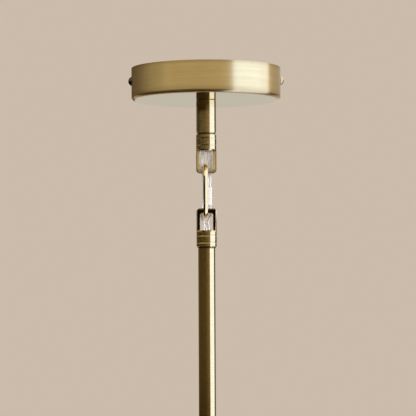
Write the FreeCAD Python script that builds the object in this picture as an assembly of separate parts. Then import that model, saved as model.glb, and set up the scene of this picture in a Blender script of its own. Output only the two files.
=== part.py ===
"""Suspension of a ring chandelier: ceiling canopy, stem, two loops joined by a link, and a down rod.

Millimetres. The origin is on the ceiling, in the middle of the canopy, and +Z is up, so the part hangs
below z = 0. +X is to the right and +Y to the back for someone who looks at its front.
"""

import FreeCAD
import Part

import math
import os

Vector = FreeCAD.Vector

# Canopy
canopy_diameter = 140.0
canopy_height = 30.0
canopy_wall = 1.2
canopy_edge_radius = 3.2

# Ceiling bracket
bracket_width = 20.0
bracket_thickness = 2.0
bracket_bend_radius = 3.0
bracket_tab_length = 19.0
bracket_tab_corner = 5.0
bracket_side_gap = 0.4
slot_spacing = 84.0
slot_length = 16.0
slot_width = 5.2

# Screws
side_screw_drop = 12.0
side_screw_diameter = 4.0
side_screw_length = 9.0
side_screw_head_diameter = 8.6
side_screw_head_height = 3.0
earth_screw_place = 20.0
earth_screw_length = 5.0
screw_slot_width = 0.9
screw_slot_depth = 1.0
screw_below_ceiling = 0.2

# Threaded nipples, which stand for M10 x 1 tube thread
thread_diameter = 10.0
thread_bore = 7.0
thread_fit = 0.05
thread_chamfer = 0.6
nipple_end_gap = 1.0

# Nut, washer and bush on the canopy nipple
nut_across_flats = 14.0
nut_height = 4.0
washer_diameter = 17.0
washer_thickness = 0.8
washer_tooth_count = 12
washer_tooth_depth = 1.6
washer_tooth_gap = 1.4
nipple_above_nut = 3.2
bush_flange_diameter = 12.4
bush_flange_thickness = 1.2
bush_collar_length = 3.0
bush_lead_room = 0.5

# Stem
stem_diameter = 18.5
stem_length = 31.5
stem_top_thread = 13.0
stem_lower_thread = 11.0
stem_waist_bore = 8.0
edge_chamfer = 0.5

# Loops
loop_diameter = 19.0
loop_barrel_length = 16.5
loop_thread_length = 10.0
loop_mouth_bore = 11.0
loop_neck_diameter = 17.2
loop_neck_height = 1.0
loop_shoulder = 1.2
loop_groove_places = (5.3, 11.9)
loop_groove_width = 0.7
loop_groove_depth = 0.13
loop_window_height = 16.3
loop_window_corner = 1.6
bow_leg = 3.6
bow_bar = 4.8
bow_depth = 4.2
bow_corner = 3.6
bow_end_radius = 2.0
bow_edge_radius = 0.6

# Link
link_wire = 4.4
link_inner_length = 43.0
link_inner_width = 18.0
link_offset = -0.8
seat_clearance = 0.4

# Rod
rod_diameter = 16.0
rod_wall = 1.2
rod_edge_chamfer = 0.4
rod_length = 305.0
rod_plug_length = 15.0
rod_top_thread = 12.0
rod_end_thread = 12.0
rod_end_reach = 10.0
relief_above_end = 0.5
relief_below_end = 1.0
relief_depth = 0.6

# Terminal block, hung under the bracket
pole_count = 4
pole_pitch = 8.0
pole_width = 6.6
block_inner_face = 14.0
block_length = 16.0
block_height = 12.0
block_web_width = 6.0
block_web_height = 5.0
sleeve_diameter = 5.2
sleeve_bore = 3.0
sleeve_inset = 1.0
sleeve_drop = 7.0

# Leads
lead_diameter = 2.0
lead_arc_share = 0.45
lead_gap = 0.5
lead_end_inset = 0.5
lead_terminal_entry = 2.0
lead_straight_in_nipple = 5.5
shrink_wall = 0.25
shrink_fit = 0.1
shrink_above_middle = 3.6
shrink_below_middle = 13.5

# How far a cutting shape runs past the face that it opens, and how near two places count as one
cut_past = 1.0
same_place = 0.01

# Heights that follow from the sizes above
canopy_floor = canopy_wall - canopy_height
stem_top = -canopy_height
stem_bottom = stem_top - stem_length
upper_window_top = stem_bottom - loop_barrel_length
upper_bar_top = upper_window_top - loop_window_height
link_inner_top = upper_bar_top + seat_clearance
link_inner_bottom = link_inner_top - link_inner_length
link_middle = (link_inner_top + link_inner_bottom) / 2
lower_bar_bottom = link_inner_bottom + seat_clearance
lower_window_bottom = lower_bar_bottom - loop_window_height
rod_top = lower_window_bottom - loop_barrel_length
rod_bottom = rod_top - rod_length
rod_end = rod_bottom - rod_end_reach
nut_bottom = canopy_floor + washer_thickness
canopy_nipple_top = nut_bottom + nut_height + nipple_above_nut
canopy_nipple_bottom = stem_top - stem_top_thread + nipple_end_gap
stem_nipple_top = stem_bottom + stem_lower_thread - nipple_end_gap
shrink_top = link_middle + shrink_above_middle
shrink_bottom = link_middle - shrink_below_middle

# Radii and places that follow from the sizes above
canopy_radius = canopy_diameter / 2
thread_radius = thread_diameter / 2
thread_hole_radius = thread_radius + thread_fit
lead_radius = lead_diameter / 2
bush_bore = 2.5 * lead_diameter + bush_lead_room
canopy_inside_radius = canopy_radius - canopy_wall
bracket_half_span = math.sqrt(canopy_inside_radius**2 - (bracket_width / 2) ** 2) - bracket_side_gap
pole_places = [(i - (pole_count - 1) / 2) * pole_pitch for i in range(pole_count)]
sleeve_height = -bracket_thickness - sleeve_drop
block_middle = -block_inner_face - block_length / 2
upper_nipple_end = stem_bottom - loop_thread_length
rod_nipple_top = rod_top + loop_thread_length

# Where each lead runs inside the stem and the rod, four leads side by side
bundle_side = 0.525 * lead_diameter
lead_bundle = {
    "outer left": (-bundle_side, -bundle_side),
    "inner left": (-bundle_side, bundle_side),
    "inner right": (bundle_side, bundle_side),
    "outer right": (bundle_side, -bundle_side),
}
lead_upper_split = upper_nipple_end + lead_straight_in_nipple
lead_lower_split = rod_nipple_top - lead_straight_in_nipple

# From the terminal block to the top of the stem
lead_pole = {
    "outer left": pole_places[1],
    "inner left": pole_places[2],
    "inner right": pole_places[3],
    "outer right": pole_places[0],
}
lead_out_of_pole = {
    "outer left": [],
    "inner left": [],
    "inner right": [(-8.5, pole_places[3] - 0.4, sleeve_height + 0.4)],
    "outer right": [(-8.5, pole_places[0] + 0.4, sleeve_height + 0.4)],
}
lead_into_stem = {
    "outer left": sleeve_height,
    "inner left": sleeve_height,
    "inner right": sleeve_height - 1.0,
    "outer right": sleeve_height - 1.0,
}

# Clear of the link's wire on either side, and clear of the loops' bars at the back
left_of_link = link_offset - link_wire / 2 - lead_radius - lead_gap
right_of_link = link_offset + link_wire / 2 + lead_radius + lead_gap
behind_bar = bow_depth / 2 + lead_radius + lead_gap

# Down through the upper loop, behind its bar and into the link
lead_past_upper_bar = {
    "outer left": [
        (left_of_link + 0.1, 1.2, upper_window_top - 2.0),
        (left_of_link - 0.1, behind_bar + 0.4, upper_bar_top + 1.8),
    ],
    "inner left": [(left_of_link - 0.1, behind_bar + 1.6 * lead_diameter, upper_bar_top - 1.5)],
    "inner right": [(right_of_link, behind_bar + 1.4 * lead_diameter, upper_bar_top + 2.3)],
    "outer right": [(right_of_link + 1.1, 1.0, upper_window_top - 2.0)],
}
# Where the leads run straight down in and beside the link
lead_at_link = {
    "outer left": (-1.2 * lead_diameter, behind_bar + 0.3 * lead_diameter),
    "inner left": (-0.5 * lead_diameter, behind_bar + 1.3 * lead_diameter),
    "inner right": (right_of_link + 0.6 - 0.8 * lead_diameter, behind_bar + 1.15 * lead_diameter),
    "outer right": (right_of_link + 0.6, behind_bar + 0.35 * lead_diameter),
}
lead_straight_from = {"outer left": 11.5, "inner left": 9.5, "inner right": 10.5, "outer right": 22.5}
lead_straight_to = {"outer left": 7.0, "inner left": 6.5, "inner right": 15.5, "outer right": 22.0}
# Behind the lower loop's bar and down into its barrel
lead_past_lower_bar = {
    "outer left": [
        (left_of_link - 0.5, behind_bar + 0.3 * lead_diameter, lower_bar_bottom - 0.5),
        (-1.15 * lead_diameter, 0.2, lower_window_bottom + 1.0),
    ],
    "inner left": [
        (left_of_link - 1.1, behind_bar + 1.6 * lead_diameter, lower_bar_bottom + 0.5),
        (-0.3 * lead_diameter, 1.3 * lead_diameter, lower_window_bottom + 3.0),
    ],
    "inner right": [(right_of_link, behind_bar + 1.6 * lead_diameter, lower_bar_bottom + 0.2)],
    "outer right": [(1.35 * lead_diameter, 0.4, lower_window_bottom + 2.0)],
}


def turned(outline):
    """A solid of revolution about Z from a closed outline of (radius, height) points and arcs.

    An outline item is a corner (r, z), or an arc given as (mid r, mid z, end r, end z).
    """
    edges = []
    here = outline[0]
    for item in outline[1:] + outline[:1]:
        start = Vector(here[0], 0, here[1])
        end = Vector(item[-2], 0, item[-1])
        if len(item) == 4:
            middle = Vector(item[0], 0, item[1])
            edges.append(Part.Arc(start, middle, end).toShape())
        else:
            edges.append(Part.LineSegment(start, end).toShape())
        here = (item[-2], item[-1])
    face = Part.Face(Part.Wire(edges))
    return face.revolve(Vector(0, 0, 0), Vector(0, 0, 1), 360)


def rod_between(radius, start, end):
    """A cylinder from one point to another."""
    start = Vector(*start)
    along = Vector(*end) - start
    return Part.makeCylinder(radius, along.Length, start, along)


def round_slot(length, width, height, centre_x, base_z):
    """A prism with half-round ends, longest along X."""
    radius = width / 2
    reach = length / 2 - radius
    left = centre_x - reach
    right = centre_x + reach
    edges = [
        Part.LineSegment(Vector(left, -radius, base_z), Vector(right, -radius, base_z)).toShape(),
        Part.Arc(
            Vector(right, -radius, base_z),
            Vector(right + radius, 0, base_z),
            Vector(right, radius, base_z),
        ).toShape(),
        Part.LineSegment(Vector(right, radius, base_z), Vector(left, radius, base_z)).toShape(),
        Part.Arc(
            Vector(left, radius, base_z),
            Vector(left - radius, 0, base_z),
            Vector(left, -radius, base_z),
        ).toShape(),
    ]
    return Part.Face(Part.Wire(edges)).extrude(Vector(0, 0, height))


def arc_point(centre, radius, degrees):
    """A point of a circle in a radius and height plane."""
    turn = math.radians(degrees)
    return (centre[0] + radius * math.cos(turn), centre[1] + radius * math.sin(turn))


def canopy_shell():
    """A spun cup, open towards the ceiling, with a rolled lower edge, a nipple hole and two screw holes."""
    outer = canopy_edge_radius
    inner = canopy_edge_radius - canopy_wall
    centre = (canopy_radius - outer, outer - canopy_height)
    inner_centre = (canopy_inside_radius - inner, canopy_floor + inner)
    outline = [
        (canopy_radius, 0.0),
        (canopy_radius, outer - canopy_height),
        (*arc_point(centre, outer, -45), canopy_radius - outer, -canopy_height),
        (thread_hole_radius, -canopy_height),
        (thread_hole_radius, canopy_floor),
        (canopy_inside_radius - inner, canopy_floor),
        (*arc_point(inner_centre, inner, -45), canopy_inside_radius, canopy_floor + inner),
        (canopy_inside_radius, 0.0),
    ]
    shell = turned(outline)
    reach = canopy_radius + side_screw_head_height
    drill = rod_between(
        side_screw_diameter / 2 + 2 * thread_fit,
        (-reach, 0, -side_screw_drop),
        (reach, 0, -side_screw_drop),
    )
    return shell.cut(drill)


def bracket_outline():
    """The bent strip seen from the front: a flat bar with a tab bent down at each end."""
    span = bracket_half_span
    outer = bracket_bend_radius
    inner = bracket_bend_radius - bracket_thickness
    thick = bracket_thickness
    tab = -bracket_tab_length
    diagonal = math.sqrt(0.5)
    corner = span - outer
    edges = []

    def line(x0, z0, x1, z1):
        edges.append(Part.LineSegment(Vector(x0, 0, z0), Vector(x1, 0, z1)).toShape())

    def bend(side, radius, x0, z0, x1, z1):
        middle = Vector(side * (corner + radius * diagonal), 0, radius * diagonal - outer)
        edges.append(Part.Arc(Vector(x0, 0, z0), middle, Vector(x1, 0, z1)).toShape())

    line(-corner, 0, corner, 0)
    bend(1, outer, corner, 0, span, -outer)
    line(span, -outer, span, tab)
    line(span, tab, span - thick, tab)
    line(span - thick, tab, span - thick, -outer)
    bend(1, inner, span - thick, -outer, corner, -thick)
    line(corner, -thick, -corner, -thick)
    bend(-1, inner, -corner, -thick, thick - span, -outer)
    line(thick - span, -outer, thick - span, tab)
    line(thick - span, tab, -span, tab)
    line(-span, tab, -span, -outer)
    bend(-1, outer, -span, -outer, -corner, 0)
    return Part.Wire(edges)


def ceiling_bracket():
    """A steel strip for the ceiling box, with two slots and a threaded hole in each tab."""
    strip = Part.Face(bracket_outline()).extrude(Vector(0, bracket_width, 0))
    strip.translate(Vector(0, -bracket_width / 2, 0))
    tab_corners = [
        edge
        for edge in strip.Edges
        if abs(edge.BoundBox.ZMax + bracket_tab_length) < same_place
        and abs(edge.BoundBox.YLength) < same_place
        and abs(edge.BoundBox.XLength - bracket_thickness) < same_place
    ]
    strip = strip.makeFillet(bracket_tab_corner, tab_corners)
    for side in (-1, 1):
        slot = round_slot(
            slot_length,
            slot_width,
            3 * bracket_thickness,
            side * slot_spacing / 2,
            -2 * bracket_thickness,
        )
        strip = strip.cut(slot)
    earth_hole = rod_between(
        side_screw_diameter / 2 + thread_fit,
        (earth_screw_place, 0, -2 * bracket_thickness),
        (earth_screw_place, 0, bracket_thickness),
    )
    strip = strip.cut(earth_hole)
    tapped = rod_between(
        side_screw_diameter / 2 + thread_fit,
        (-canopy_radius, 0, -side_screw_drop),
        (canopy_radius, 0, -side_screw_drop),
    )
    return strip.cut(tapped)


def domed_screw(diameter, length, head_diameter, head_height, slot_depth):
    """A slotted round-head screw: its head stands on z = 0 and its shank goes down."""
    head_radius = head_diameter / 2
    shank = diameter / 2
    sphere_radius = (head_radius**2 + head_height**2) / (2 * head_height)
    centre = (0.0, head_height - sphere_radius)
    rim = math.degrees(math.asin(head_radius / sphere_radius))
    outline = [
        (0.0, -length),
        (shank - edge_chamfer, -length),
        (shank, edge_chamfer - length),
        (shank, 0.0),
        (head_radius, 0.0),
        (*arc_point(centre, sphere_radius, 90 - rim / 2), 0.0, head_height),
    ]
    screw = turned(outline)
    slot = Part.makeBox(
        2 * head_diameter,
        screw_slot_width,
        2 * slot_depth,
        Vector(-head_diameter, -screw_slot_width / 2, head_height - slot_depth),
    )
    return screw.cut(slot)


def canopy_screws():
    """The two screws that hold the canopy's wall to the bracket's tabs."""
    screws = []
    for side in (-1, 1):
        screw = domed_screw(
            side_screw_diameter,
            side_screw_length,
            side_screw_head_diameter,
            side_screw_head_height,
            screw_slot_depth,
        )
        screw.rotate(Vector(0, 0, 0), Vector(0, 1, 0), side * 90)
        screw.translate(Vector(side * (canopy_radius + thread_fit), 0, -side_screw_drop))
        screws.append(screw)
    return Part.makeCompound(screws)


def earth_screw():
    """A screw for the supply's earth lead, driven up into the bracket and left proud for the lead."""
    screw = domed_screw(
        side_screw_diameter,
        earth_screw_length,
        side_screw_head_diameter,
        side_screw_head_height,
        screw_slot_depth,
    )
    screw.rotate(Vector(0, 0, 0), Vector(1, 0, 0), 180)
    screw.translate(Vector(earth_screw_place, 0, -earth_screw_length - screw_below_ceiling))
    return screw


def nipple(top, bottom):
    """A hollow threaded tube with chamfered ends."""
    outer = thread_radius
    lead_in = outer - thread_chamfer
    bore = thread_bore / 2
    outline = [
        (bore, top),
        (lead_in, top),
        (outer, top - thread_chamfer),
        (outer, bottom + thread_chamfer),
        (lead_in, bottom),
        (bore, bottom),
    ]
    return turned(outline)


def end_nipple():
    """The nipple at the rod's lower end, with its thread relieved where it leaves the rod."""
    tube = nipple(rod_bottom + rod_end_thread, rod_end)
    relief = turned(
        [
            (thread_radius - relief_depth, rod_bottom + relief_above_end),
            (rod_diameter, rod_bottom + relief_above_end),
            (rod_diameter, rod_bottom - relief_below_end),
            (thread_radius - relief_depth, rod_bottom - relief_below_end),
        ]
    )
    return tube.cut(relief)


def hex_nut():
    """A hexagon nut with its corners turned off at both faces."""
    corner = nut_across_flats / math.sqrt(3)
    points = []
    for i in range(7):
        turn = math.radians(60 * i)
        points.append(Vector(corner * math.cos(turn), corner * math.sin(turn), nut_bottom))
    prism = Part.Face(Part.makePolygon(points)).extrude(Vector(0, 0, nut_height))
    flat = nut_across_flats / 2 - thread_fit
    drop = (corner - flat) / 2
    nut_top = nut_bottom + nut_height
    rounded = turned(
        [
            (thread_hole_radius, nut_top),
            (flat, nut_top),
            (corner, nut_top - drop),
            (corner, nut_bottom + drop),
            (flat, nut_bottom),
            (thread_hole_radius, nut_bottom),
        ]
    )
    return prism.common(rounded)


def tooth_washer():
    """A flat lock washer with teeth round its rim."""
    radius = washer_diameter / 2
    ring = turned(
        [
            (thread_hole_radius, canopy_floor),
            (radius, canopy_floor),
            (radius, nut_bottom),
            (thread_hole_radius, nut_bottom),
        ]
    )
    for i in range(washer_tooth_count):
        gap = Part.makeBox(
            2 * washer_tooth_depth,
            washer_tooth_gap,
            3 * washer_thickness,
            Vector(
                radius - washer_tooth_depth, -washer_tooth_gap / 2, canopy_floor - washer_thickness
            ),
        )
        gap.rotate(Vector(0, 0, 0), Vector(0, 0, 1), i * 360 / washer_tooth_count)
        ring = ring.cut(gap)
    return ring


def wire_bush():
    """A flanged plastic bush that keeps the leads off the nipple's edge."""
    bore = bush_bore / 2
    collar = thread_bore / 2 - thread_fit
    flange = bush_flange_diameter / 2
    top = canopy_nipple_top + bush_flange_thickness
    round_over = bush_flange_thickness / 2
    outline = [
        (bore, top),
        (flange - round_over, top),
        (flange, top - round_over),
        (flange, canopy_nipple_top),
        (collar, canopy_nipple_top),
        (collar, canopy_nipple_top - bush_collar_length),
        (bore, canopy_nipple_top - bush_collar_length),
    ]
    return turned(outline)


def stem():
    """A turned brass neck, threaded from both ends, with a narrower passage between."""
    radius = stem_diameter / 2
    waist = stem_waist_bore / 2
    outline = [
        (thread_hole_radius, stem_top),
        (radius - edge_chamfer, stem_top),
        (radius, stem_top - edge_chamfer),
        (radius, stem_bottom + edge_chamfer),
        (radius - edge_chamfer, stem_bottom),
        (thread_hole_radius, stem_bottom),
        (thread_hole_radius, stem_bottom + stem_lower_thread),
        (waist, stem_bottom + stem_lower_thread),
        (waist, stem_top - stem_top_thread),
        (thread_hole_radius, stem_top - stem_top_thread),
    ]
    return turned(outline)


def loop_barrel():
    """The turned foot of a loop, its threaded end at z = 0, with a neck, two V grooves and a shoulder."""
    radius = loop_diameter / 2
    outline = [
        (thread_hole_radius, 0.0),
        (loop_neck_diameter / 2, 0.0),
        (loop_neck_diameter / 2, loop_neck_height),
        (radius - edge_chamfer, loop_neck_height),
        (radius, loop_neck_height + edge_chamfer),
    ]
    for place in sorted(loop_barrel_length - p for p in loop_groove_places):
        outline.append((radius, place - loop_groove_width / 2))
        outline.append((radius - loop_groove_depth, place))
        outline.append((radius, place + loop_groove_width / 2))
    outline += [
        (radius, loop_barrel_length - loop_shoulder),
        (radius - loop_shoulder, loop_barrel_length),
        (loop_mouth_bore / 2, loop_barrel_length),
        (loop_mouth_bore / 2, loop_thread_length),
        (thread_hole_radius, loop_thread_length),
    ]
    return turned(outline)


def bow_slab(foot, end):
    """The two milled flats of a bow, as a slab along X whose end is rounded to the front and back."""
    half = bow_depth / 2
    reach = loop_diameter
    level = end - bow_end_radius
    slack = bow_end_radius * (1 - math.sqrt(0.5))
    edges = [
        Part.LineSegment(Vector(-reach, -half, foot), Vector(-reach, -half, level)).toShape(),
        Part.Arc(
            Vector(-reach, -half, level),
            Vector(-reach, slack - half, end - slack),
            Vector(-reach, bow_end_radius - half, end),
        ).toShape(),
        Part.LineSegment(
            Vector(-reach, bow_end_radius - half, end), Vector(-reach, half - bow_end_radius, end)
        ).toShape(),
        Part.Arc(
            Vector(-reach, half - bow_end_radius, end),
            Vector(-reach, half - slack, end - slack),
            Vector(-reach, half, level),
        ).toShape(),
        Part.LineSegment(Vector(-reach, half, level), Vector(-reach, half, foot)).toShape(),
        Part.LineSegment(Vector(-reach, half, foot), Vector(-reach, -half, foot)).toShape(),
    ]
    return Part.Face(Part.Wire(edges)).extrude(Vector(2 * reach, 0, 0))


def bow_window(foot, window_end):
    """The gap between a bow's legs, with rounded corners at its bar."""
    half = loop_diameter / 2 - bow_leg
    gap = Part.makeBox(
        2 * half,
        2 * bow_depth,
        window_end - foot + cut_past,
        Vector(-half, -bow_depth, foot - cut_past),
    )
    corners = [
        edge
        for edge in gap.Edges
        if edge.BoundBox.ZMin > window_end - same_place and edge.BoundBox.XLength < same_place
    ]
    return gap.makeFillet(loop_window_corner, corners)


def loop_bow():
    """The bow of a loop: a round blank with a rounded end, milled flat on two sides and windowed."""
    radius = loop_diameter / 2
    foot = loop_barrel_length - loop_shoulder
    window_end = loop_barrel_length + loop_window_height
    end = window_end + bow_bar
    blank = Part.makeCylinder(radius, end - foot, Vector(0, 0, foot))
    rounded = [edge for edge in blank.Edges if edge.BoundBox.ZMin > end - same_place]
    blank = blank.makeFillet(bow_corner, rounded)
    bow = blank.common(bow_slab(foot, end)).cut(bow_window(foot, window_end))
    inside = radius - bow_leg + same_place
    rims = [
        edge
        for edge in bow.Edges
        if edge.BoundBox.YLength < same_place
        and abs(edge.BoundBox.XMin) < inside
        and abs(edge.BoundBox.XMax) < inside
        and edge.BoundBox.ZMax < window_end + same_place
    ]
    return bow.makeFillet(bow_edge_radius, rims)


def loop_fitting():
    """A loop with its threaded end at z = 0 and its bow upwards."""
    return loop_barrel().fuse(loop_bow()).removeSplitter()


def upper_loop():
    """The loop under the stem, bow downwards."""
    loop = loop_fitting()
    loop.rotate(Vector(0, 0, 0), Vector(1, 0, 0), 180)
    loop.translate(Vector(0, 0, stem_bottom))
    return loop


def lower_loop():
    """The loop on the rod, bow upwards."""
    loop = loop_fitting()
    loop.translate(Vector(0, 0, rod_top))
    return loop


def link():
    """An oval chain link, seen edge on from the front: two half-round bows and two straight sides."""
    radius = link_wire / 2
    reach = link_inner_width / 2 + radius
    top = link_inner_top - link_inner_width / 2
    bottom = link_inner_bottom + link_inner_width / 2
    bows = []
    for height, turn in ((top, 180), (bottom, -180)):
        circle = Part.Circle(Vector(link_offset, reach, height), Vector(0, 0, 1), radius)
        section = Part.Wire(circle.toShape())
        bow = Part.Face(section).revolve(Vector(link_offset, 0, height), Vector(1, 0, 0), turn)
        bows.append(bow)
    sides = [rod_between(radius, (link_offset, y, bottom), (link_offset, y, top)) for y in (-reach, reach)]
    return bows[0].fuse(bows[1:] + sides).removeSplitter()


def rod_tube():
    """The long brass tube."""
    outer = rod_diameter / 2
    inner = outer - rod_wall
    outline = [
        (inner, rod_top),
        (outer - rod_edge_chamfer, rod_top),
        (outer, rod_top - rod_edge_chamfer),
        (outer, rod_bottom + rod_edge_chamfer),
        (outer - rod_edge_chamfer, rod_bottom),
        (inner, rod_bottom),
    ]
    return turned(outline)


def rod_plug(top):
    """A threaded plug that is soldered into an end of the rod."""
    outer = rod_diameter / 2 - rod_wall - thread_fit
    bottom = top - rod_plug_length
    outline = [
        (thread_hole_radius, top),
        (outer - edge_chamfer, top),
        (outer, top - edge_chamfer),
        (outer, bottom + edge_chamfer),
        (outer - edge_chamfer, bottom),
        (thread_hole_radius, bottom),
    ]
    return turned(outline)


def terminal_block():
    """Moulded poles on a web, each with a passage for a sleeve."""
    top = -bracket_thickness
    left = block_middle - block_length / 2
    web_length = (pole_count - 1) * pole_pitch
    web = Part.makeBox(
        block_web_width,
        web_length,
        block_web_height,
        Vector(block_middle - block_web_width / 2, -web_length / 2, top - block_web_height),
    )
    poles = []
    passages = []
    for place in pole_places:
        corner = Vector(left, place - pole_width / 2, top - block_height)
        poles.append(Part.makeBox(block_length, pole_width, block_height, corner))
        passage = rod_between(
            sleeve_diameter / 2 + thread_fit,
            (left - cut_past, place, sleeve_height),
            (left + block_length + cut_past, place, sleeve_height),
        )
        passages.append(passage)
    return web.fuse(poles).removeSplitter().cut(passages)


def terminal_sleeves():
    """Short brass tubes that take the leads."""
    left = block_middle - block_length / 2 + sleeve_inset
    right = block_middle + block_length / 2 - sleeve_inset
    sleeves = []
    for place in pole_places:
        tube = rod_between(sleeve_diameter / 2, (left, place, sleeve_height), (right, place, sleeve_height))
        bore = rod_between(sleeve_bore / 2, (left, place, sleeve_height), (right, place, sleeve_height))
        sleeves.append(tube.cut(bore))
    return Part.makeCompound(sleeves)


def lead(points, name):
    """A round lead along straight runs joined by tangent arcs, and a note of its tightest arc."""
    corners = [Vector(*p) for p in points]
    edges = []
    radii = []
    here = corners[0]
    for before, corner, after in zip(corners, corners[1:], corners[2:]):
        back = (before - corner).normalize()
        ahead = (after - corner).normalize()
        half_turn = (math.pi - back.getAngle(ahead)) / 2
        shorter = min((corner - before).Length, (after - corner).Length)
        tangent = lead_arc_share * shorter
        radius = tangent / math.tan(half_turn)
        radii.append(radius)
        start = corner + back * tangent
        end = corner + ahead * tangent
        inward = (back + ahead).normalize()
        middle = corner + inward * (radius / math.cos(half_turn) - radius)
        edges.append(Part.LineSegment(here, start).toShape())
        edges.append(Part.Arc(start, middle, end).toShape())
        here = end
    edges.append(Part.LineSegment(here, corners[-1]).toShape())
    path = Part.Wire(edges)
    along = corners[1] - corners[0]
    section = Part.Wire(Part.Circle(corners[0], along, lead_radius).toShape())
    tube = path.makePipeShell([section], True, False)
    expected = math.pi * lead_radius**2 * path.Length
    print(name, "least radius", round(min(radii), 1), "volume ratio", round(tube.Volume / expected, 4))
    return tube


def canopy_wires():
    """The leads from the terminal block through the stem to the upper loop's mouth."""
    entry = -block_inner_face - lead_terminal_entry
    leads = []
    for side, (x, y) in lead_bundle.items():
        route = [(entry, lead_pole[side], sleeve_height)]
        route += lead_out_of_pole[side]
        route.append((x, y, lead_into_stem[side]))
        route.append((x, y, lead_upper_split))
        leads.append(lead(route, "canopy lead " + side))
    return Part.makeCompound(leads)


def upper_link_wires():
    """The leads from the upper loop's mouth, behind its bar, to the middle of the link."""
    leads = []
    for side, (x, y) in lead_at_link.items():
        route = [(*lead_bundle[side], lead_upper_split)]
        route.append((*lead_bundle[side], upper_nipple_end))
        route += lead_past_upper_bar[side]
        route.append((x, y, link_middle + lead_straight_from[side]))
        route.append((x, y, link_middle))
        leads.append(lead(route, "upper lead " + side))
    return Part.makeCompound(leads)


def lower_link_wires():
    """The leads from the middle of the link, behind the lower bar, into the lower loop."""
    leads = []
    for side, (x, y) in lead_at_link.items():
        route = [(x, y, link_middle), (x, y, link_middle - lead_straight_to[side])]
        route += lead_past_lower_bar[side]
        route.append((*lead_bundle[side], rod_nipple_top))
        route.append((*lead_bundle[side], lead_lower_split))
        leads.append(lead(route, "lower lead " + side))
    return Part.makeCompound(leads)


def rod_wires():
    """The leads inside the rod, down to the lower nipple's end."""
    leads = []
    for x, y in lead_bundle.values():
        leads.append(rod_between(lead_radius, (x, y, lead_lower_split), (x, y, rod_end + lead_end_inset)))
    return Part.makeCompound(leads)


def wire_sleeve():
    """A shrunk sleeve that holds the two leads on the right together beside the link."""
    height = shrink_top - shrink_bottom
    inside = lead_radius + shrink_fit
    ends = [Vector(*lead_at_link[side], shrink_bottom) for side in ("inner right", "outer right")]
    across = ends[1] - ends[0]
    outer = inside + shrink_wall
    sleeve = None
    for end in ends:
        post = Part.makeCylinder(outer, height, end)
        sleeve = post if sleeve is None else sleeve.fuse(post)
    bridge = Part.makeBox(across.Length, 2 * outer, height, Vector(0, -outer, 0))
    bridge.rotate(Vector(0, 0, 0), Vector(0, 0, 1), math.degrees(math.atan2(across.y, across.x)))
    bridge.translate(ends[0])
    sleeve = sleeve.fuse(bridge).removeSplitter()
    for end in ends:
        passage = Part.makeCylinder(inside, height + 2 * cut_past, end - Vector(0, 0, cut_past))
        sleeve = sleeve.cut(passage)
    return sleeve


def main():
    """Build every piece and write it to its own file."""
    nodes = {
        "ceiling_bracket": ceiling_bracket(),
        "earth_screw": earth_screw(),
        "terminal_block": terminal_block(),
        "terminal_sleeves": terminal_sleeves(),
        "canopy_shell": canopy_shell(),
        "canopy_screws": canopy_screws(),
        "canopy_nipple": nipple(canopy_nipple_top, canopy_nipple_bottom),
        "canopy_nut": hex_nut(),
        "canopy_washer": tooth_washer(),
        "wire_bush": wire_bush(),
        "stem": stem(),
        "stem_nipple": nipple(stem_nipple_top, upper_nipple_end),
        "upper_loop": upper_loop(),
        "link": link(),
        "lower_loop": lower_loop(),
        "rod_nipple": nipple(rod_nipple_top, rod_top - rod_top_thread),
        "rod_top_plug": rod_plug(rod_top),
        "rod_tube": rod_tube(),
        "rod_end_plug": rod_plug(rod_bottom + rod_plug_length),
        "rod_end_nipple": end_nipple(),
        "canopy_wires": canopy_wires(),
        "upper_link_wires": upper_link_wires(),
        "lower_link_wires": lower_link_wires(),
        "rod_wires": rod_wires(),
        "wire_sleeve": wire_sleeve(),
    }
    os.makedirs("parts", exist_ok=True)
    for name, shape in nodes.items():
        shape.exportStep("parts/" + name + ".step")


main()
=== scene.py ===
"""Looks of a chandelier's suspension: brass, stranded leads, threads and a plain studio."""

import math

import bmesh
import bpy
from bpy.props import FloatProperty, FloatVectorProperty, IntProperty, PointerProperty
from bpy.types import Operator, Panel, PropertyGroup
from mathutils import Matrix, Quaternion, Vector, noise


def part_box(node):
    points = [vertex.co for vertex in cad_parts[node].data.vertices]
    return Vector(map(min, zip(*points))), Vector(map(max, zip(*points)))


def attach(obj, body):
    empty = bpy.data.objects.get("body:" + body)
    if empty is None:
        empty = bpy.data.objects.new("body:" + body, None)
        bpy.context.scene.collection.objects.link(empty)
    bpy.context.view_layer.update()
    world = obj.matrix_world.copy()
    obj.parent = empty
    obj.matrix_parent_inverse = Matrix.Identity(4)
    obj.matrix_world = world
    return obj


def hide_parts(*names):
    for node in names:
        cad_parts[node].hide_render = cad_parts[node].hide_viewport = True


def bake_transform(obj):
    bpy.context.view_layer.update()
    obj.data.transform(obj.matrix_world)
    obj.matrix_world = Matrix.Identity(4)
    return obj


bl_info = {
    "name": "Chandelier suspension",
    "version": (1, 0, 0),
    "blender": (4, 5, 0),
    "location": "3D View > Sidebar > Suspension",
    "description": "Finishes, leads, threads and studio for the suspension of a ring chandelier",
    "category": "Object",
}

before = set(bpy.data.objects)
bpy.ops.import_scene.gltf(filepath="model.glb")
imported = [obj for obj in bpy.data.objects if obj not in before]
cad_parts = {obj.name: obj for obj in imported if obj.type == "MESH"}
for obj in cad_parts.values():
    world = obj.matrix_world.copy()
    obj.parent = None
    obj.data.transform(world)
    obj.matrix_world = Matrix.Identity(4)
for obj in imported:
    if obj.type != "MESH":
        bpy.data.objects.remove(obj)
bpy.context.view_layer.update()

MM = 0.001
SAME_POINT = 0.001 * MM  # points closer than this are merged
CLOSE = 0.01 * MM  # slack when places are compared

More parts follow.
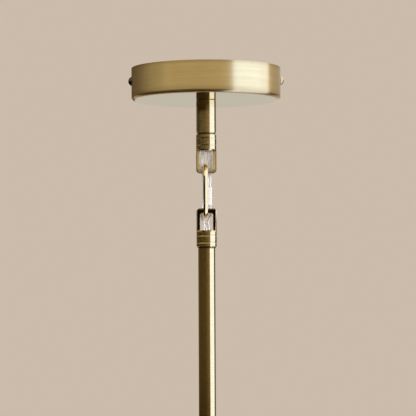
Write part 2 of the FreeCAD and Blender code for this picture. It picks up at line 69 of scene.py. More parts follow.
# Sizes of the solid model that no node's box gives
HALF_BOW = 2.1 * MM  # half the depth of a loop's bow
BARREL = 16.5 * MM  # length of a loop's barrel
NECK = 1.0 * MM  # length of the narrower end of a barrel
GROOVES = (5.3 * MM, 11.9 * MM)  # from a barrel's outer end to the middle of each groove
HALF_GROOVE = 0.35 * MM  # half the width of a groove
BORE = 3.5 * MM  # radius of a nipple's bore
END_GROOVE = (-475.3 * MM, -473.8 * MM, 4.4 * MM)  # the last nipple's groove: low, high and radius

# The leads in millimetres, as in the solid model: their places in the bores and beside the link,
# and their bends between these, top to bottom
BORE_LEADS = [(-1.05, -1.05), (-1.05, 1.05), (1.05, 1.05), (1.05, -1.05)]
LINK_LEADS = [(-2.4, 4.2), (-1.0, 6.2), (1.65, 5.1), (3.75, 5.1)]
SLEEVED_LEADS = LINK_LEADS[2:]
CANOPY_BENDS = [
    [(-16, -4, -9), (-1.05, -1.05, -9)],
    [(-16, 4, -9), (-1.05, 1.05, -9)],
    [(-16, 12, -9), (-8.5, 11.6, -8.6), (1.05, 1.05, -10)],
    [(-16, -12, -9), (-8.5, -11.6, -8.6), (1.05, -1.05, -10)],
]
UPPER_BENDS = [
    [(-4.4, 0.9, -79), (-4.6, 4.0, -92.5), (-2.4, 4.2, -103.9)],
    [
        (-2.2, 2.6, -80), (-3.0, 4.6, -85), (-4.8, 6.6, -91),
        (-4.6, 6.8, -96.5), (-1.0, 6.2, -105.9),
    ],
    [(1.3, 2.6, -80.5), (2.2, 4.4, -86), (3.2, 6.5, -92), (1.65, 5.1, -104.9)],
    [(4.1, 1.0, -79.5), (4.6, 3.9, -92), (3.75, 5.1, -104)],
]
LOWER_BENDS = [
    [
        (-2.4, 4.2, -122.4), (-4.9, 4.2, -136), (-4.1, 3.6, -141),
        (-1.7, 1.8, -146), (-2.7, -0.4, -151.5),
    ],
    [
        (-1.0, 6.2, -121.9), (-5.6, 6.8, -136), (-4.0, 5.6, -142),
        (-0.6, 3.6, -148), (0.0, 2.0, -153),
    ],
    [
        (1.65, 5.1, -129.5), (3.0, 6.8, -136.5), (2.4, 6.4, -141),
        (0.8, 4.8, -145), (2.2, 2.6, -151.5),
    ],
    [(3.75, 5.1, -129.5), (4.3, 3.9, -138), (1.4, 2.4, -144), (2.9, 0.2, -151)],
]


def straight(place, *heights):
    """Points of a lead that runs straight down."""
    return [(*place, height) for height in heights]


CANOPY_ROUTES = [bend + straight(bore, -24, -66) for bend, bore in zip(CANOPY_BENDS, BORE_LEADS)]
UPPER_ROUTES = [
    straight(bore, -66, -71.5) + bend + straight(side, -115.4)
    for bore, bend, side in zip(BORE_LEADS, UPPER_BENDS, LINK_LEADS)
]
LOWER_ROUTES = [
    straight(side, -115.4) + bend + straight(bore, -159.3, -164.8)
    for side, bend, bore in zip(LINK_LEADS, LOWER_BENDS, BORE_LEADS)
]
ROD_ROUTES = [straight(bore, -164.8, -325, -483.8) for bore in BORE_LEADS]


class BrassSettings(PropertyGroup):
    """Colours and brush lines of the brass."""

    tone: FloatVectorProperty(
        name="Tone", description="Colour of clean brass",
        subtype="COLOR", default=(0.78, 0.60, 0.31),
    )
    tarnish: FloatVectorProperty(
        name="Tarnish", description="Colour of dulled brass",
        subtype="COLOR", default=(0.34, 0.23, 0.09),
    )
    brush_line: FloatProperty(
        name="Brush line", description="Width of one brush line",
        subtype="DISTANCE", default=0.00025,
    )
    brush_depth: FloatProperty(
        name="Brush depth", description="Depth of the brush lines",
        subtype="DISTANCE", default=0.000006,
    )


class LoopSettings(PropertyGroup):
    """The eased edges of the loops' bows."""

    flat_reach: FloatProperty(
        name="Flat reach", description="Half the width of a bow's flat side",
        subtype="DISTANCE", default=0.0082,
    )
    edge_ease: FloatProperty(
        name="Edge ease", description="Width of a bow's eased outer edge",
        subtype="DISTANCE", default=0.0012,
    )
    roll_reach: FloatProperty(
        name="Roll reach", description="Height of a bow's rolled lower edge",
        subtype="DISTANCE", default=0.0042,
    )


class LinkSettings(PropertyGroup):
    """The flat along the link's outer right side."""

    flat_turn: FloatProperty(
        name="Flat turn", description="The flat's turn from outwards to the right",
        subtype="ANGLE", default=math.radians(28),
    )
    flat_depth: FloatProperty(
        name="Flat depth", description="From the wire's line to the flat",
        subtype="DISTANCE", default=0.00165,
    )
    corner: FloatProperty(
        name="Corner", description="Radius of the flat's corners",
        subtype="DISTANCE", default=0.001,
    )


class ThreadSettings(PropertyGroup):
    """Sizes of the cut threads."""

    pitch: FloatProperty(
        name="Pitch", description="Rise of the thread in one turn",
        subtype="DISTANCE", default=0.001,
    )
    depth: FloatProperty(
        name="Depth", description="Height of the thread's flanks",
        subtype="DISTANCE", default=0.0006,
    )
    chamfer: FloatProperty(
        name="Chamfer", description="Chamfer at each end of a nipple",
        subtype="DISTANCE", default=0.0006,
    )
    steps: IntProperty(name="Steps", description="Facets in one turn", default=48, min=12)


class LeadSettings(PropertyGroup):
    """Sizes of the leads and of the sleeve round two of them."""

    diameter: FloatProperty(
        name="Diameter", description="Outer diameter of one lead",
        subtype="DISTANCE", default=0.002,
    )
    strand: FloatProperty(
        name="Strand", description="Diameter of one tinned strand",
        subtype="DISTANCE", default=0.00056,
    )
    lay_radius: FloatProperty(
        name="Lay radius", description="Distance of a strand from the lead's line",
        subtype="DISTANCE", default=0.00042,
    )
    lay_length: FloatProperty(
        name="Lay length", description="Length of one turn of the strands",
        subtype="DISTANCE", default=0.011,
    )
    strands: IntProperty(name="Strands", description="Strands in one lead", default=5, min=1)
    sleeve_wall: FloatProperty(
        name="Sleeve wall", description="From a lead's surface to the sleeve's outside",
        subtype="DISTANCE", default=0.00035,
    )


class StageSettings(PropertyGroup):
    """Camera, background and light."""

    frame_height: FloatProperty(
        name="Frame height", description="Height of the picture at the axis",
        subtype="DISTANCE", default=0.3896,
    )
    camera_distance: FloatProperty(
        name="Camera distance", description="Distance in front of the axis",
        subtype="DISTANCE", default=2.8,
    )
    camera_height: FloatProperty(
        name="Camera height", description="Height of the camera",
        subtype="DISTANCE", default=-0.3338,
    )
    target_height: FloatProperty(
        name="Target height", description="Height at the picture's middle",
        subtype="DISTANCE", default=-0.1315,
    )
    target_side: FloatProperty(
        name="Target side", description="The picture's middle to the axis's right",
        subtype="DISTANCE", default=0.00132,
    )
    roll: FloatProperty(
        name="Roll", description="Camera's turn round its own view",
        subtype="ANGLE", default=math.radians(-0.27),
    )
    background: FloatVectorProperty(
        name="Background", description="Colour behind the object",
        subtype="COLOR", default=(0.60, 0.50, 0.41),
    )
    fill: FloatProperty(name="Fill", description="Light from all round", default=0.65)
    key_power: FloatProperty(
        name="Key", description="Power of the key lamp", subtype="POWER", default=55.0
    )
    floor_height: FloatProperty(
        name="Floor height", description="Height of the floor", subtype="DISTANCE", default=-0.62
    )


class Socket:
    """A node's output that takes part in sums: each operator adds the node that it needs."""

    def __init__(self, nodes, source):
        self.nodes = nodes
        self.source = source

    def other(self, name):
        """Another output of the same node."""
        return Socket(self.nodes, self.source.node.outputs[name])

    def math(self, operation, *others):
        """The value put through a Math node with other values."""
        return self.nodes.math(operation, self, *others)

    def __add__(self, other):
        return self.math("ADD", other)

    def __radd__(self, other):
        return self.nodes.math("ADD", other, self)

    def __sub__(self, other):
        return self.math("SUBTRACT", other)

    def __rsub__(self, other):
        return self.nodes.math("SUBTRACT", other, self)

    def __mul__(self, other):
        return self.math("MULTIPLY", other)

    def __rmul__(self, other):
        return self.nodes.math("MULTIPLY", other, self)

    def __truediv__(self, other):
        return self.math("DIVIDE", other)

    def __rtruediv__(self, other):
        return self.nodes.math("DIVIDE", other, self)

    def __pow__(self, other):
        return self.math("POWER", other)

    def __rpow__(self, other):
        return self.nodes.math("POWER", other, self)

    def __neg__(self):
        return self.math("MULTIPLY", -1.0)

    def __abs__(self):
        return self.math("ABSOLUTE")


class Nodes:
    """Adds nodes to one node tree and hands their outputs back as sockets for sums."""

    def __init__(self, tree):
        self.tree = tree
        tree.nodes.clear()

    def node(self, kind, settings, inputs, output=0):
        """Add a node: its settings first, then the values or links of its sockets."""
        made = self.tree.nodes.new(kind)
        for name, value in settings.items():
            setattr(made, name, value)
        for key, value in inputs.items():
            if isinstance(value, Socket):
                self.tree.links.new(value.source, made.inputs[key])
            else:
                made.inputs[key].default_value = value
        return Socket(self, made.outputs[output]) if made.outputs else None

    def math(self, operation, *values):
        """A Math node."""
        return self.node("ShaderNodeMath", {"operation": operation}, dict(enumerate(values)))

    def mix(self, factor, first, second):
        """A Mix node between two colours."""
        inputs = {0: factor, 6: colour(first), 7: colour(second)}
        return self.node("ShaderNodeMix", {"data_type": "RGBA", "clamp_factor": True}, inputs, 2)

    def place(self):
        """The place on the object, in metres."""
        return self.node("ShaderNodeTexCoord", {}, {}, "Object")

    def split(self, vector):
        """The three parts of a vector."""
        x = self.node("ShaderNodeSeparateXYZ", {}, {0: vector})
        return x, x.other("Y"), x.other("Z")

    def noise(self, vector, scale, detail=2.0, roughness=0.5):
        """Soft noise between 0 and 1."""
        inputs = {"Vector": vector, "Scale": scale, "Detail": detail, "Roughness": roughness}
        return self.node("ShaderNodeTexNoise", {"noise_dimensions": "3D"}, inputs)

    def step(self, value, low, high):
        """A smooth step from 0 at low to 1 at high."""
        settings = {"interpolation_type": "SMOOTHSTEP"}
        inputs = {"Value": value, "From Min": low, "From Max": high}
        return self.node("ShaderNodeMapRange", settings, inputs)

    def band(self, value, low, high, fade):
        """A mask that is 1 between low and high, and fades in and out inside them."""
        return self.step(value, low, low + fade) * (1.0 - self.step(value, high - fade, high))

    def rings(self, line, streak):
        """A vector for noise in lines round the axis: line is their width, streak their turns."""
        x, y, z = self.split(self.place())
        radius = (x * x + y * y) ** 0.5
        parts = {0: x / radius * streak, 1: y / radius * streak, 2: (z + radius) / line}
        return self.node("ShaderNodeCombineXYZ", {}, parts)

    def bump(self, height, depth):
        """A normal bent by a height between 0 and 1 that stands for depth."""
        inputs = {"Strength": 1.0, "Distance": depth, "Height": height}
        return self.node("ShaderNodeBump", {}, inputs)

    def streaks(self, stretch, scale, detail=3.0):
        """Soft noise drawn out along the object's axes."""
        inputs = {0: self.place(), 1: stretch}
        place = self.node("ShaderNodeVectorMath", {"operation": "MULTIPLY"}, inputs)
        return self.noise(place, scale, detail)

    def patches(self, scale, detail, roughness, low, high):
        """A mask of soft patches: noise that is 0 below low and 1 above high."""
        return self.step(self.noise(self.place(), scale, detail, roughness), low, high)

    def hollows(self, reach, low, high):
        """A mask of grooves and corners, from how much of the space within reach is hidden."""
        settings = {"samples": 6, "only_local": False}
        seen = self.node("ShaderNodeAmbientOcclusion", settings, {"Distance": reach}, "AO")
        return self.step(1.0 - seen, low, high)

    def surface(self, inputs, kind="ShaderNodeBsdfPrincipled"):
        """Add a shader and show it."""
        self.show(self.node(kind, {}, inputs))

    def show(self, shader):
        """Link a shader to the tree's output."""
        self.node("ShaderNodeOutputMaterial", {}, {"Surface": shader})


def colour(value):
    """A colour with its alpha, or a socket as it is."""
    if isinstance(value, Socket):
        return value
    return (*value, 1.0)


def new_material(name):
    """An empty material and its nodes."""
    made = bpy.data.materials.new(name)
    made.use_nodes = True
    return made, Nodes(made.node_tree)


class Tooling:
    """What turned pieces share: lines round the axis, dull patches and tarnished hollows."""

    def __init__(self, nodes, line_scale, streak, dulling):
        settings = bpy.context.scene.suspension_brass
        line = settings.brush_line * line_scale
        fine = nodes.noise(nodes.rings(line, streak), scale=1.0, detail=3.0)
        broad = nodes.noise(nodes.rings(line * 9, streak * 0.6), scale=1.0, detail=3.0)
        self.lines = broad * 0.6 + fine * 0.4
        clouds = nodes.patches(scale=70.0, detail=5.0, roughness=0.62, low=0.46, high=0.74)
        self.patches = clouds * dulling
        hollows = nodes.hollows(reach=0.002, low=0.35, high=0.95)
        line_shade = (1.0 - nodes.step(self.lines, low=0.25, high=0.7)) * 0.22
        lined = nodes.mix(line_shade, settings.tone, settings.tarnish)
        self.tone = nodes.mix(self.patches + hollows * 0.4, lined, settings.tarnish)
        self.roughness = (self.lines - 0.5) * 0.12 + self.patches * 0.3


def brushed(nodes, tone, roughness, lines, line_scale, drawn_out):
    """Show brass with raised lines round the axis, along which its gloss is drawn out."""
    depth = bpy.context.scene.suspension_brass.brush_depth * line_scale
    nodes.surface({
        "Base Color": tone,
        "Roughness": roughness,
        "Metallic": 1.0,
        "Anisotropic": drawn_out,
        "Anisotropic Rotation": 0.25,
        "Normal": nodes.bump(lines, depth),
    })


def turned_brass(name, roughness, line_scale, dulling):
    """Brass tooled in lines round the axis."""
    made, nodes = new_material(name)
    tooling = Tooling(nodes, line_scale, streak=2.0, dulling=dulling)
    gloss = roughness + tooling.roughness
    brushed(nodes, tooling.tone, gloss, tooling.lines, line_scale, drawn_out=0.5)
    return made


def canopy_brass(name, roughness, polished, face):
    """Brass brushed round the wall, darkened towards both rims by painted shade, and polished on
    the face below.
    """
    made, nodes = new_material(name)
    tarnish = bpy.context.scene.suspension_brass.tarnish
    tooling = Tooling(nodes, line_scale=1.0, streak=1.6, dulling=0.10)
    _, _, z = nodes.split(nodes.place())
    below = nodes.step(-z, low=-face - 0.6 * MM, high=-face - 0.1 * MM)
    wall = 1.0 - below
    # Painted shade towards the lower rim and a painted shadow at the upper rim, in the tarnish
    # colour
    painted_lower_shade = nodes.step(-z, low=-face - 9.0 * MM, high=-face - 2.0 * MM)
    painted_upper_shadow = nodes.step(z, low=-4.0 * MM, high=0.0)
    tone = nodes.mix((painted_lower_shade + painted_upper_shadow) * wall * 0.4, tooling.tone, tarnish)
    gloss = (roughness + tooling.roughness) * wall + below * polished
    brushed(nodes, tone, gloss, tooling.lines * wall, line_scale=1.0, drawn_out=0.9)
    return made


def loop_brass(name, bow, seams, flat_painted_tone, flat_roughness):
    """Turned brass with painted shade in hollows and seams, and bow flats in a painted tone of
    light and shade.
    """
    made, nodes = new_material(name)
    settings = bpy.context.scene.suspension_loops
    line_scale = 0.6
    tooling = Tooling(nodes, line_scale, streak=2.0, dulling=0.2)
    x, _, z = nodes.split(nodes.place())
    _, facing, _ = nodes.split(nodes.node("ShaderNodeTexCoord", {}, {}, "Normal"))
    eased = ((abs(x) - settings.flat_reach) / settings.edge_ease).math("MAXIMUM", 0.0)
    faces = nodes.step(abs(facing), low=0.75, high=0.97) * nodes.band(z, *bow, fade=0.8 * MM)
    flats = faces * (1.0 - nodes.step(eased, low=0.0, high=0.5))
    # Painted shade: near black in hollows found by occlusion and along the seams given
    grime_and_shade = nodes.hollows(reach=0.0012, low=0.4, high=0.9) * 0.8
    for low, high, share in seams:
        grime_and_shade = grime_and_shade.math("MAXIMUM", nodes.band(z, low, high, fade=0.1 * MM) * share)
    grime_and_shade_tone = (0.05, 0.035, 0.015)
    # The flats take a painted tone that stands for how light falls on them
    tone = nodes.mix(grime_and_shade, nodes.mix(flats, tooling.tone, flat_painted_tone), grime_and_shade_tone)
    gloss = (0.15 + tooling.roughness) * (1.0 - flats) + flats * flat_roughness
    brushed(nodes, tone, gloss, tooling.lines, line_scale, drawn_out=0.4)
    return made


def drawn_brass(name, roughness, dulling, age=0.0, painted_left_shade=0.0):
    """Brass drawn along its length, dulled by wear and, where given, darkened on the left by
    painted shade.
    """
    settings = bpy.context.scene.suspension_brass
    made, nodes = new_material(name)
    drawn = nodes.streaks((3.0, 1.0, 0.35), scale=900.0)
    patches = nodes.patches(scale=160.0, detail=5.0, roughness=0.6, low=0.42, high=0.75)
    hollows = nodes.hollows(reach=0.002, low=0.3, high=0.95)
    shaded = nodes.mix((1.0 - drawn) * 0.2, settings.tone, settings.tarnish)
    dulled = nodes.mix(age + patches * dulling + hollows * 0.5, shaded, settings.tarnish)
    # Painted shade: the left side darkened towards black, as much as given
    x, _, _ = nodes.split(nodes.place())
    left = nodes.step(-x, low=0.0, high=10.0 * MM)
    painted_shade_tone = (0.03, 0.02, 0.01)
    nodes.surface({
        "Base Color": nodes.mix(left * painted_left_shade, dulled, painted_shade_tone),
        "Roughness": roughness + (drawn - 0.5) * 0.12 + patches * 0.1,
        "Metallic": 1.0,
        "Normal": nodes.bump(drawn, settings.brush_depth),
    })
    return made


def plated_steel(name, tone, roughness):
    """Zinc-plated steel: a cloudy passivated film with rolling lines and small scuffs."""
    made, nodes = new_material(name)
    clouds = nodes.noise(nodes.place(), scale=120.0, detail=4.0, roughness=0.6)
    rolled = nodes.streaks((0.08, 1.0, 1.0), scale=2600.0, detail=2.0)
    scuffs = nodes.patches(scale=900.0, detail=3.0, roughness=0.7, low=0.62, high=0.72)
    yellowing = (1.06, 0.98, 0.78)
    yellowed = tuple(part * change for part, change in zip(tone, yellowing))
    film = nodes.mix(nodes.step(clouds, low=0.35, high=0.7), tone, yellowed)
    bare_tone = (0.80, 0.80, 0.79)
    nodes.surface({
        "Base Color": nodes.mix(scuffs * 0.35, film, bare_tone),
        "Roughness": roughness + (clouds - 0.5) * 0.16 + (rolled - 0.5) * 0.08,
        "Metallic": 1.0,
        "Normal": nodes.bump(rolled * 0.7 + scuffs * 0.3, depth=0.008 * MM),
    })
    return made


def moulded_plastic(name, tone, shade, roughness):
    """Moulded plastic: a fine spark-eroded grain, faint flow marks and dust in its corners."""
    made, nodes = new_material(name)
    grain = nodes.noise(nodes.place(), scale=5200.0, roughness=0.6)
    flow = nodes.streaks((1.0, 0.3, 1.0), scale=160.0)
    dust = nodes.hollows(reach=0.004, low=0.35, high=0.95)
    marked = nodes.mix(nodes.step(flow, low=0.35, high=0.7), tone, shade)
    nodes.surface({
        "Base Color": nodes.mix(dust * 0.5, marked, shade),
        "Roughness": roughness + (grain - 0.5) * 0.2,
        "Normal": nodes.bump(grain, depth=0.01 * MM),
    })
    return made


def clear_sheath(name):
    """Clear soft plastic: see-through, but darker at the edges, where it bends light."""
    made, nodes = new_material(name)
    haze = nodes.noise(nodes.place(), scale=700.0, detail=3.0)
    facing = nodes.node("ShaderNodeLayerWeight", {}, {"Blend": 0.5}, "Facing")
    rim = nodes.step(facing, low=0.3, high=0.75)
    clear_tone = (0.94, 0.94, 0.93)
    rim_tone = (0.07, 0.06, 0.05)
    nodes.surface({
        "Base Color": nodes.mix(rim, clear_tone, rim_tone),
        "Roughness": 0.12 + haze * 0.12,
        "IOR": 1.5,
        "Alpha": 0.05 + rim * 0.7 + haze * 0.06,
    })
    return made


def tinned_copper(name):
    """Bright tinned wire, with copper showing faintly where the tin is thin."""
    made, nodes = new_material(name)
    thin = nodes.patches(scale=1400.0, detail=3.0, roughness=0.5, low=0.55, high=0.8)
    tin_tone = (0.96, 0.96, 0.94)
    copper_tone = (0.78, 0.56, 0.42)
    nodes.surface({
        "Base Color": nodes.mix(thin * 0.2, tin_tone, copper_tone),
        "Roughness": 0.4 + thin * 0.15,
        "Metallic": 0.15,
    })
    return made


def shrunk_plastic(name):
    """White shrink tubing: satin, with faint creases along it."""
    made, nodes = new_material(name)
    creases = nodes.streaks((1.0, 1.0, 0.12), scale=2600.0)
    grime_and_shade = nodes.patches(scale=420.0, detail=4.0, roughness=0.6, low=0.5, high=0.8)
    white_tone = (0.95, 0.95, 0.93)
    grime_and_shade_tone = (0.78, 0.77, 0.73)
    nodes.surface({
        "Base Color": nodes.mix(grime_and_shade * 0.2, white_tone, grime_and_shade_tone),
        "Roughness": 0.32 + creases * 0.2,
        "Normal": nodes.bump(creases, depth=0.03 * MM),
    })
    return made


def dress(material, *names):
    """Give CAD nodes a material."""
    for name in names:
        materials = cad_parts[name].data.materials
        materials.clear()
        materials.append(material)


def add_object(name, bm, materials, sharp_angle):
    """A new object from a mesh, smooth apart from its sharp edges."""
    bmesh.ops.recalc_face_normals(bm, faces=bm.faces)
    mesh = bpy.data.meshes.new(name)
    bm.to_mesh(mesh)
    bm.free()
    mesh.shade_smooth()
    mesh.set_sharp_from_angle(angle=sharp_angle)
    for material in materials:
        mesh.materials.append(material)
    made = bpy.data.objects.new(name, mesh)
    bpy.context.scene.collection.objects.link(made)
    return made


def skin(bm, rings, closed, material_index=0):
    """Faces between rings of points, capped at both ends or closed from last to first."""
    made = [[bm.verts.new(point) for point in ring] for ring in rings]
    pairs = list(zip(made, made[1:]))
    if closed:
        pairs.append((made[-1], made[0]))
    faces = []
    for first, second in pairs:
        for i in range(len(first)):
            j = (i + 1) % len(first)
            faces.append(bm.faces.new((first[i], first[j], second[j], second[i])))
    if not closed:
        faces.append(bm.faces.new(made[0]))
        faces.append(bm.faces.new(made[-1]))
    for face in faces:
        face.material_index = material_index


def route_points(route, resolution):
    """Points read from the NURBS spline whose control points are a route's points."""
    curve = bpy.data.curves.new("route", "CURVE")
    curve.dimensions = "3D"
    spline = curve.splines.new("NURBS")
    spline.points.add(len(route) - 1)
    for point, place in zip(spline.points, route):
        point.co = (*(part * MM for part in place), 1.0)
    spline.order_u = 3
    spline.use_endpoint_u = True
    spline.resolution_u = resolution
    holder = bpy.data.objects.new("route", curve)
    mesh = bpy.data.meshes.new_from_object(holder)
    points = [vertex.co.copy() for vertex in mesh.vertices]
    bpy.data.meshes.remove(mesh)
    bpy.data.objects.remove(holder)
    bpy.data.curves.remove(curve)
    return points


def sides_along(points):
    """Two directions across the line at each point, carried along without twist."""
    tangents = []
    for i in range(len(points)):
        ahead = points[min(i + 1, len(points) - 1)]
        behind = points[max(i - 1, 0)]
        tangents.append((ahead - behind).normalized())
    side = tangents[0].orthogonal().normalized()
    sides = []
    for tangent in tangents:
        side = (side - tangent * side.dot(tangent)).normalized()
        sides.append((side, tangent.cross(side)))
    return sides


def tube_rings(points, sides, radius, facets):
    """Rings round a line of points."""
    rings = []
    for point, (across, over) in zip(points, sides):
        ring = []
        for i in range(facets):
            turn = 2 * math.pi * i / facets
            ring.append(point + radius * (math.cos(turn) * across + math.sin(turn) * over))
        rings.append(ring)
    return rings


def laid_line(points, sides, offset, lay_length, start):
    """A line that winds round another at an offset."""
    line = []
    travelled = 0.0
    previous = points[0]
    for point, (across, over) in zip(points, sides):
        travelled += (point - previous).length
        previous = point
        turn = start + 2 * math.pi * travelled / lay_length
        line.append(point + offset * (math.cos(turn) * across + math.sin(turn) * over))
    return line


def make_leads(name, routes, resolution, materials):
    """Clear-sheathed leads with twisted strands along routes."""
    settings = bpy.context.scene.suspension_leads
    sheath_facets = 14
    strand_facets = 7
    bm = bmesh.new()
    for route in routes:
        points = route_points(route, resolution)
        sides = sides_along(points)
        skin(bm, tube_rings(points, sides, settings.diameter / 2, sheath_facets), closed=False)
        for i in range(settings.strands):
            start = 2 * math.pi * i / settings.strands
            line = laid_line(points, sides, settings.lay_radius, settings.lay_length, start)
            rings = tube_rings(line, sides, settings.strand / 2, strand_facets)
            skin(bm, rings, closed=False, material_index=1)
    return add_object(name, bm, materials, sharp_angle=math.radians(50))


def in_bow(vert, bow):
    """Whether a point belongs to the bow, between the barrel's shoulder and the loop's end."""
    return bow[0] - CLOSE < vert.co.z < bow[1] + CLOSE and abs(vert.co.y) < HALF_BOW + CLOSE


def cut_bow(bm, bow, place, direction):
    """Add a row of points to the bow's faces along a plane."""
    faces = [face for face in bm.faces if all(in_bow(vert, bow) for vert in face.verts)]
    edges = {edge for face in faces for edge in face.edges}
    verts = {vert for face in faces for vert in face.verts}
    geometry = [*verts, *edges, *faces]
    bmesh.ops.bisect_plane(bm, geom=geometry, dist=SAME_POINT, plane_co=place, plane_no=direction)


def eased_loop(name, node, bow, material, ease, roll):
    """A loop whose bow falls away to its outer edges and, where given, rolls to its lower edge."""
    settings = bpy.context.scene.suspension_loops
    rows = 7
    bm = bmesh.new()
    bm.from_mesh(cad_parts[node].data)
    bmesh.ops.remove_doubles(bm, verts=bm.verts, dist=SAME_POINT)
    for i in range(rows):
        share = i / rows
        for side in (-1, 1):
            reach = settings.flat_reach + settings.edge_ease * share
            cut_bow(bm, bow, (side * reach, 0, 0), (1, 0, 0))
        if roll:
            cut_bow(bm, bow, (0, 0, bow[0] + settings.roll_reach * (1 - share)), (0, 0, 1))
    for vert in [vert for vert in bm.verts if in_bow(vert, bow)]:
        across = max(0.0, abs(vert.co.x) - settings.flat_reach) / settings.edge_ease
        down = max(0.0, bow[0] + settings.roll_reach - vert.co.z) / settings.roll_reach
        limit = HALF_BOW - settings.edge_ease * ease * across ** 2 - roll * down ** 2
        vert.co.y = math.copysign(min(abs(vert.co.y), limit), vert.co.y)
    return crisp_object(name, bm, material)


def crisp_object(name, bm, material):
    """A new object from a copy of a CAD mesh, with crisp grooves and plane flats."""
    bmesh.ops.recalc_face_normals(bm, faces=bm.faces)
    hard = [edge.calc_face_angle(0.0) > math.radians(14) for edge in bm.edges]
    made = add_object(name, bm, [material], sharp_angle=math.pi)
    # The normals that came with the CAD mesh don't fit the new shape
    given = made.data.attributes.get("custom_normal")
    if given:
        made.data.attributes.remove(given)
    made.data.edges.foreach_set("use_edge_sharp", hard)
    weighted = made.modifiers.new("flats", "WEIGHTED_NORMAL")
    weighted.mode = "FACE_AREA_WITH_ANGLE"
    weighted.keep_sharp = True
    return made


def wire_section(radius, settings):
    """Points round a wire with one flat, as its reach outwards and its reach to the right."""
    core = radius - settings.corner
    spread = math.acos((settings.flat_depth - settings.corner) / core)
    first = settings.flat_turn - spread
    last = settings.flat_turn + spread
    round_steps = 24
    corner_steps = 6
    # Each arc: its middle's reach and turn, its radius, its first and last turn, and its steps
    arcs = [
        (0.0, 0.0, radius, last, first + 2 * math.pi, round_steps),
        (core, first, settings.corner, first, settings.flat_turn, corner_steps),
        (core, last, settings.corner, settings.flat_turn, last, corner_steps),
    ]
    section = []
    for reach, middle, bend, start, end, steps in arcs:
        for i in range(steps + 1):
            turn = start + (end - start) * i / steps
            place = (
                reach * math.cos(middle) + bend * math.cos(turn),
                reach * math.sin(middle) + bend * math.sin(turn),
            )
            if not section or math.dist(place, section[-1]) > CLOSE:
                section.append(place)
    if math.dist(section[0], section[-1]) < CLOSE:
        section.pop()
    return section


def forged_link(name, low, high, material):
    """An oval link of wire with a flat along its outer right side."""
    radius = (high.x - low.x) / 2
    bend = (high.y - low.y) / 2 - radius
    section = wire_section(radius, bpy.context.scene.suspension_link)
    right = Vector((1, 0, 0))
    steps = 28
    rings = []
    for start, height in ((0.0, high.z - radius - bend), (math.pi, low.z + radius + bend)):
        middle = Vector(((high.x + low.x) / 2, (high.y + low.y) / 2, height))
        for i in range(steps + 1):
            turn = start + math.pi * i / steps
            outward = Vector((0, math.cos(turn), math.sin(turn)))
            rings.append([middle + outward * (bend + out) + right * side for out, side in section])
    bm = bmesh.new()
    skin(bm, rings, closed=True)
    return add_object(name, bm, [material], sharp_angle=math.radians(40))


def thread_radius(height, turn, outer, settings):
    """Radius of a thread's flank at a height and a turn."""
    phase = (height / settings.pitch + turn / (2 * math.pi)) % 1.0
    return outer - settings.depth * abs(2 * phase - 1)


def threaded_nipple(name, low, high, outer, bore, groove, material):
    """A tube with a helical outer thread, chamfered ends and, where given, a smooth groove."""
    settings = bpy.context.scene.suspension_threads
    rows_per_pitch = 6
    turns = [2 * math.pi * i / settings.steps for i in range(settings.steps)]
    rows = round((high - low) / settings.pitch * rows_per_pitch)
    rings = [[Vector((bore * math.cos(turn), bore * math.sin(turn), high)) for turn in turns]]
    for row in range(rows + 1):
        height = high + (low - high) * row / rows
        limit = outer - settings.chamfer + min(high - height, height - low)
        if groove and groove[0] <= height <= groove[1]:
            limit = min(limit, groove[2])
        ring = []
        for turn in turns:
            radius = min(limit, thread_radius(height, turn, outer, settings))
            ring.append(Vector((radius * math.cos(turn), radius * math.sin(turn), height)))
        rings.append(ring)
    rings.append([Vector((bore * math.cos(turn), bore * math.sin(turn), low)) for turn in turns])
    bm = bmesh.new()
    skin(bm, rings, closed=True)
    return add_object(name, bm, [material], sharp_angle=math.radians(40))


def shrunk_sleeve(name, low, high, leads, reach, material):
    """A sleeve shrunk round two leads: it dips between them, ripples and narrows at both ends."""
    rows = 44
    facets = 40
    end_share = 0.16  # how much of its size an end loses
    end_rows = 2.5
    ripple_turns = 2.0
    ripple_length = 0.0024
    mean_size = 0.965  # of the reach, which leaves room for the ripple
    ripple_size = 0.03
    dip_depth = 0.05
    dip_width = 0.55
    lobe_spread = 2.2  # how soon a point leaves one lead's side for the other's
    first, second = [Vector((x * MM, y * MM, 0)) for x, y in leads]
    middle = (first + second) / 2
    apart = (second - first).length / 2
    along = (second - first).normalized()
    across = Vector((-along.y, along.x, 0))
    rings = []
    for row in range(rows + 1):
        share = row / rows
        height = high + (low - high) * share
        end = min(share, 1 - share) * rows
        drawn_in = 1 - end_share * max(0.0, 1 - end / end_rows) ** 2
        ring = []
        for i in range(facets):
            turn = 2 * math.pi * i / facets
            lean = math.cos(turn)
            width = math.sin(turn)
            at = (lean * ripple_turns, width * ripple_turns, height / ripple_length)
            ripple = noise.noise(Vector(at))
            dip = 1 - dip_depth * max(0.0, 1 - abs(lean) / dip_width)
            radius = reach * drawn_in * (mean_size + ripple_size * ripple)
            lobe = math.copysign(min(abs(lean) * lobe_spread, 1.0), lean)
            offset = along * (lobe * apart * drawn_in + lean * radius)
            ring.append(middle + offset + across * width * radius * dip + Vector((0, 0, height)))
        rings.append(ring)
    bm = bmesh.new()
    skin(bm, rings, closed=False)
    return add_object(name, bm, [material], sharp_angle=math.radians(60))


def grid_object(name, corners, material):
    """A flat or bent strip through rows of points, for the stage."""
    bm = bmesh.new()
    rows = [[bm.verts.new(point) for point in row] for row in corners]
    for first, second in zip(rows, rows[1:]):
        for i in range(len(first) - 1):
            bm.faces.new((first[i], first[i + 1], second[i + 1], second[i]))
    made = add_object(name, bm, [material], sharp_angle=math.pi)
    return made


def arc(turns, distance, height):
    """Points on a level arc round the axis; turns are in degrees to the right of the front."""
    steps = 12
    row = []
    for i in range(steps + 1):
        angle = math.radians(turns[0] + (turns[1] - turns[0]) * i / steps)
        row.append(Vector((distance * math.sin(angle), -distance * math.cos(angle), height)))
    return row


